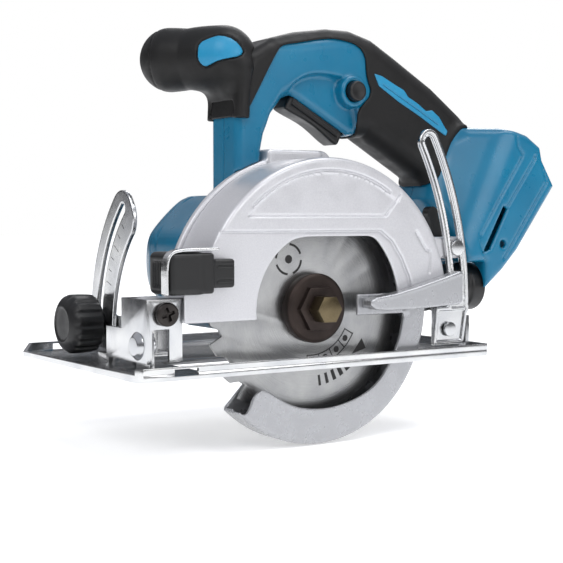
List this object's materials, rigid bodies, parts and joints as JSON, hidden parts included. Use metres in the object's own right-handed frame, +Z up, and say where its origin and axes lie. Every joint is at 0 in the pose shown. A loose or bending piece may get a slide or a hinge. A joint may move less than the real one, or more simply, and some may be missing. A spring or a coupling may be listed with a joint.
{
  "type": "cordless circular saw",
  "caption": "Hand-held cordless circular saw with a tilting base, depth guide, swinging lower guard, front bulb grip and battery foot, shown with a toothed blade and no battery.",
  "frame": {"origin": "on the sole plane of the base, under the blade axis, in the blade's middle plane", "axes": "+X to the rear (battery end), +Y to the motor side, +Z up from the sole"},
  "size_m": [0.2838, 0.15, 0.2194],
  "materials": {
    "zinc_steel": "bright zinc plate",
    "dark_steel": "black oxide, satin",
    "black_plastic": "matt moulded",
    "grey_casting": "satin metallic grey paint on a casting",
    "blue_plastic": "satin moulded",
    "black_rubber": "soft satin overmould",
    "blue_inlay": "satin moulded",
    "circuit_board": "coated",
    "contact_brass": "plain",
    "motor_windings": "lacquered copper over steel",
    "bearing_steel": "ground",
    "gear_steel": "cut",
    "blade_steel": "radially brushed",
    "bolt_bronze": "yellow passivated",
    "guard_satin": "satin"
  },
  "bodies": {
    "base": {"base_plate": "zinc_steel", "bevel_quadrant": "zinc_steel", "quadrant_rivets": "zinc_steel"},
    "fence_screw": {"fence_screw": "dark_steel"},
    "tilt_frame": {"front_bracket": "zinc_steel", "rear_bracket": "zinc_steel", "bevel_rivets": "zinc_steel", "depth_guide": "zinc_steel", "guide_rivet": "zinc_steel", "depth_pivot_screw": "dark_steel"},
    "bevel_knob": {"bevel_knob": "black_plastic", "bevel_bolt": "zinc_steel"},
    "saw": {"upper_guard": "grey_casting", "gear_case": "grey_casting", "motor_housing": "blue_plastic", "motor_end_cap": "blue_plastic", "handle_shell_near": "blue_plastic", "handle_shell_far": "blue_plastic", "grip_overmould": "black_rubber", "grip_inlay": "blue_inlay", "front_grip": "black_rubber", "front_grip_inlay": "blue_inlay", "nozzle": "black_plastic", "dust_port": "black_plastic", "switch_module": "black_plastic", "controller_board": "circuit_board", "battery_terminals": "contact_brass", "stator": "motor_windings", "motor_bearing_front": "bearing_steel", "motor_bearing_rear": "bearing_steel", "spindle_bearing_front": "bearing_steel", "spindle_bearing_rear": "bearing_steel", "case_screws": "dark_steel", "handle_screws": "dark_steel", "guard_spring": "bearing_steel", "guard_bumper": "black_rubber"},
    "depth_lever": {"depth_lever": "black_plastic", "depth_bolt": "zinc_steel"},
    "drive": {"spindle": "bearing_steel", "drive_gear": "gear_steel", "inner_flange": "dark_steel", "outer_flange": "dark_steel", "blade": "blade_steel", "blade_bolt": "bolt_bronze"},
    "rotor": {"rotor": "gear_steel", "pinion": "gear_steel", "fan": "black_plastic"},
    "guard": {"lower_guard": "guard_satin", "guard_lever": "grey_casting"},
    "trigger": {"trigger": "black_plastic"},
    "lock_off": {"lock_off_button": "black_plastic"},
    "spindle_lock": {"spindle_lock_button": "black_plastic"}
  },
  "joints": [
    {"name": "bevel_tilt", "type": "hinge", "parent": "base", "child": "tilt_frame", "pos_m": [0, 0, 0.0155], "axis": [1, 0, 0], "range_deg": [0, 45]},
    {"name": "bevel_knob_turn", "type": "hinge", "parent": "tilt_frame", "child": "bevel_knob", "pos_m": [-0.09, 0.08831, 0.01951], "axis": [-1, 0, 0], "range_deg": [0, 270]},
    {"name": "depth_swing", "type": "hinge", "parent": "tilt_frame", "child": "saw", "pos_m": [-0.09, 0, 0.031], "axis": [0, -1, 0], "range_deg": [0, 18.8]},
    {"name": "depth_lever_turn", "type": "hinge", "parent": "saw", "child": "depth_lever", "pos_m": [0.0927, 0, 0.06], "axis": [0, -1, 0], "range_deg": [0, 30]},
    {"name": "spindle_spin", "type": "hinge", "parent": "saw", "child": "drive", "pos_m": [0, 0, 0.03], "axis": [0, 1, 0], "continuous": true},
    {"name": "rotor_spin", "type": "hinge", "parent": "saw", "child": "rotor", "pos_m": [-0.016, 0, 0.0524], "axis": [0, 1, 0], "continuous": true},
    {"name": "guard_swing", "type": "hinge", "parent": "saw", "child": "guard", "pos_m": [0, 0, 0.03], "axis": [0, -1, 0], "range_deg": [0, 105], "stiffness_Nm_per_rad": 0.12, "springref_deg": -45.84},
    {"name": "trigger_pull", "type": "slide", "parent": "saw", "child": "trigger", "axis": [0.4848, 0, 0.8746], "range_m": [0, 0.0062], "stiffness_N_per_m": 900, "springref_m": -0.003},
    {"name": "lock_off_push", "type": "slide", "parent": "saw", "child": "lock_off", "axis": [0, 1, 0], "range_m": [0, 0.005], "stiffness_N_per_m": 600, "springref_m": -0.003},
    {"name": "spindle_lock_push", "type": "slide", "parent": "saw", "child": "spindle_lock", "axis": [0, -1, 0], "range_m": [0, 0.003], "stiffness_N_per_m": 600, "springref_m": -0.003},
    {"name": "fence_screw_turn", "type": "hinge", "parent": "base", "child": "fence_screw", "pos_m": [-0.0835, 0.052, 0.0076], "axis": [0, 0, 1], "range_deg": [0, 270]}
  ],
  "couplings": [
    {"joint": "rotor_spin", "follows": "spindle_spin", "ratio": -4.5}
  ]
}
